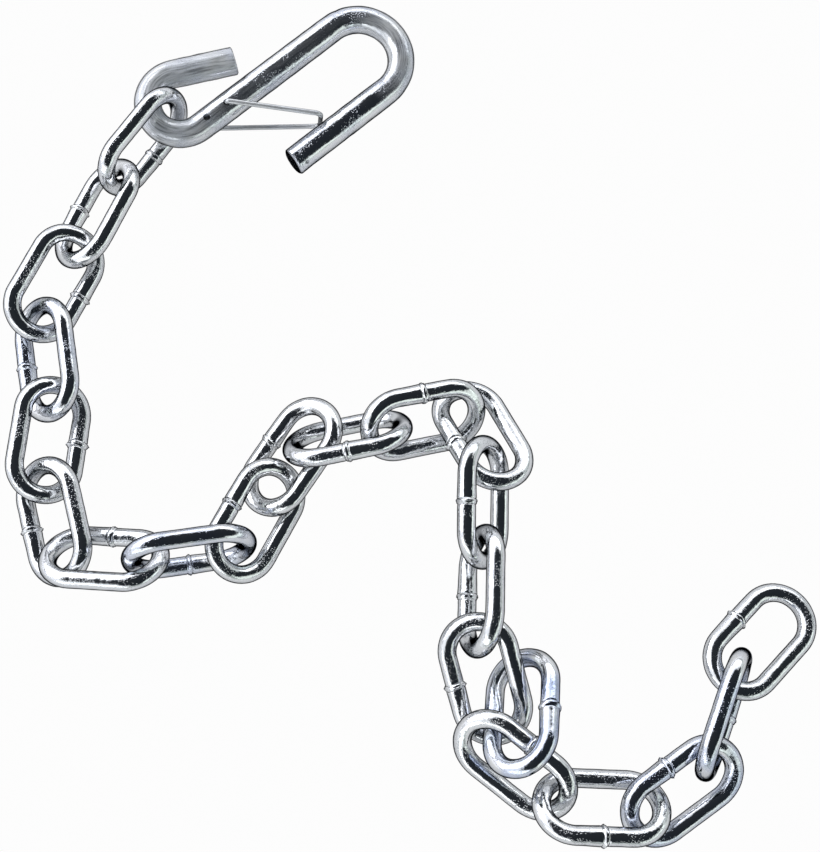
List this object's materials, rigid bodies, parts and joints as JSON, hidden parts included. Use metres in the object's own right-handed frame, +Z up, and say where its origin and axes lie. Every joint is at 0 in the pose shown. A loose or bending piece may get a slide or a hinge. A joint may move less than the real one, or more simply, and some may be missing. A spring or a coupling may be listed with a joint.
{
  "type": "safety chain with hook",
  "caption": "Safety chain of welded oval steel links, laid slack, with an S-hook and a sprung wire latch on its first link.",
  "frame": {"origin": "centre of the laid chain's outline, on the surface that it lies on", "axes": "+Z up from the surface, +Y towards the hook's end of the lay, +X towards the free end link's side"},
  "size_m": [0.2418, 0.2614, 0.0267],
  "materials": {
    "plated_rod": "bright zinc plate on steel rod, slightly blue, smooth",
    "plated_wire": "bright zinc plate on spring wire",
    "plated_link": "bright zinc plate on drawn steel wire, with fine pits"
  },
  "bodies": {
    "s_hook": {"s_hook": "plated_rod"},
    "spring_latch": {"spring_latch": "plated_wire"},
    "link_01": {"link_01": "plated_link"},
    "link_02": {"link_02": "plated_link"},
    "link_03": {"link_03": "plated_link"},
    "link_04": {"link_04": "plated_link"},
    "link_05": {"link_05": "plated_link"},
    "link_06": {"link_06": "plated_link"},
    "link_07": {"link_07": "plated_link"},
    "link_08": {"link_08": "plated_link"},
    "link_09": {"link_09": "plated_link"},
    "link_10": {"link_10": "plated_link"},
    "link_11": {"link_11": "plated_link"},
    "link_12": {"link_12": "plated_link"},
    "link_13": {"link_13": "plated_link"},
    "link_14": {"link_14": "plated_link"},
    "link_15": {"link_15": "plated_link"},
    "link_16": {"link_16": "plated_link"},
    "link_17": {"link_17": "plated_link"},
    "link_18": {"link_18": "plated_link"},
    "link_19": {"link_19": "plated_link"},
    "link_20": {"link_20": "plated_link"},
    "link_21": {"link_21": "plated_link"},
    "link_22": {"link_22": "plated_link"}
  },
  "joints": [
    {"name": "latch_pivot", "type": "hinge", "parent": "s_hook", "child": "spring_latch", "pos_m": [-0.05507, 0.09557, 0.00901], "axis": [0.1027, -0.0955, 0.9901], "range_deg": [0, 35], "stiffness_Nm_per_rad": 0.05, "springref_deg": -17.19},
    {"name": "link_01_swing", "type": "hinge", "parent": "s_hook", "child": "link_01", "pos_m": [-0.07402, 0.08702, 0.01015], "axis": [0.1885, 0.9792, 0.0749], "range_deg": [-6, 15]},
    {"name": "link_02_swing", "type": "hinge", "parent": "link_01", "child": "link_02", "pos_m": [-0.08651, 0.07108, 0.00412], "axis": [-0.5994, -0.6363, 0.4856], "range_deg": [-45, 16]},
    {"name": "link_03_swing", "type": "hinge", "parent": "link_02", "child": "link_03", "pos_m": [-0.10607, 0.0515, 0.00349], "axis": [0.0076, 0.9602, -0.2793], "range_deg": [-13, 45]},
    {"name": "link_04_swing", "type": "hinge", "parent": "link_03", "child": "link_04", "pos_m": [-0.11417, 0.02161, 0.00889], "axis": [-0.7738, 0.3897, 0.4993], "range_deg": [-45, 23]},
    {"name": "link_05_swing", "type": "hinge", "parent": "link_04", "child": "link_05", "pos_m": [-0.11027, -0.00285, 0.00457], "axis": [0.7183, -0.548, 0.4287], "range_deg": [-45, 18]},
    {"name": "link_06_swing", "type": "hinge", "parent": "link_05", "child": "link_06", "pos_m": [-0.11112, -0.02791, 0.01022], "axis": [-0.7125, 0.5614, 0.4209], "range_deg": [-45, 16]},
    {"name": "link_07_swing", "type": "hinge", "parent": "link_06", "child": "link_07", "pos_m": [-0.09946, -0.05406, 0.00641], "axis": [0.8646, 0.0983, 0.4927], "range_deg": [-18, 11]},
    {"name": "link_08_swing", "type": "hinge", "parent": "link_07", "child": "link_08", "pos_m": [-0.07029, -0.04803, 0.0109], "axis": [-0.172, 0.7915, -0.5864], "range_deg": [-11, 45]},
    {"name": "link_09_swing", "type": "hinge", "parent": "link_08", "child": "link_09", "pos_m": [-0.05249, -0.04355, 0.02], "axis": [0.9659, 0.1689, -0.1961], "range_deg": [-43, 1]},
    {"name": "link_10_swing", "type": "hinge", "parent": "link_09", "child": "link_10", "pos_m": [-0.03562, -0.03309, 0.00821], "axis": [-0.8997, -0.273, -0.3407], "range_deg": [-19, 34]},
    {"name": "link_11_swing", "type": "hinge", "parent": "link_10", "child": "link_11", "pos_m": [-0.02529, -0.02154, 0.01112], "axis": [0.568, 0.8112, 0.1392], "range_deg": [-45, 13]},
    {"name": "link_12_swing", "type": "hinge", "parent": "link_11", "child": "link_12", "pos_m": [-0.00923, -0.01332, 0.01484], "axis": [0.1619, -0.6784, -0.7166], "range_deg": [-45, 45]},
    {"name": "link_13_swing", "type": "hinge", "parent": "link_12", "child": "link_13", "pos_m": [0.02236, -0.00375, 0.0071], "axis": [-0.0062, 0.7304, 0.683], "range_deg": [-18, 45]},
    {"name": "link_14_swing", "type": "hinge", "parent": "link_13", "child": "link_14", "pos_m": [0.01901, -0.02083, 0.01357], "axis": [0.4405, -0.8645, 0.2419], "range_deg": [-45, 11]},
    {"name": "link_15_swing", "type": "hinge", "parent": "link_14", "child": "link_15", "pos_m": [0.02565, -0.04861, 0.00636], "axis": [-0.5257, -0.4996, 0.6885], "range_deg": [-45, 13]},
    {"name": "link_16_swing", "type": "hinge", "parent": "link_15", "child": "link_16", "pos_m": [0.02504, -0.07291, 0.01992], "axis": [0.3419, 0.7407, 0.5783], "range_deg": [-6, 45]},
    {"name": "link_17_swing", "type": "hinge", "parent": "link_16", "child": "link_17", "pos_m": [0.02612, -0.09699, 0.0089], "axis": [0.0808, 0.9237, -0.3746], "range_deg": [-5, 45]},
    {"name": "link_18_swing", "type": "hinge", "parent": "link_17", "child": "link_18", "pos_m": [0.02604, -0.09792, 0.00927], "axis": [-0.0808, -0.9237, 0.3746], "range_deg": [-45, 1]},
    {"name": "link_19_swing", "type": "hinge", "parent": "link_18", "child": "link_19", "pos_m": [0.04387, -0.11968, 0.00703], "axis": [-0.6959, -0.3907, -0.6026], "range_deg": [-19, 45]},
    {"name": "link_20_swing", "type": "hinge", "parent": "link_19", "child": "link_20", "pos_m": [0.06804, -0.12693, 0.01228], "axis": [0.8841, 0.3482, -0.3115], "range_deg": [-8, 36]},
    {"name": "link_21_swing", "type": "hinge", "parent": "link_20", "child": "link_21", "pos_m": [0.09292, -0.10525, 0.0078], "axis": [-0.5039, 0.7044, 0.4999], "range_deg": [-6, 45]},
    {"name": "link_22_swing", "type": "hinge", "parent": "link_21", "child": "link_22", "pos_m": [0.09652, -0.08733, 0.00893], "axis": [0.978, -0.1771, -0.1101], "range_deg": [-45, 41]}
  ]
}
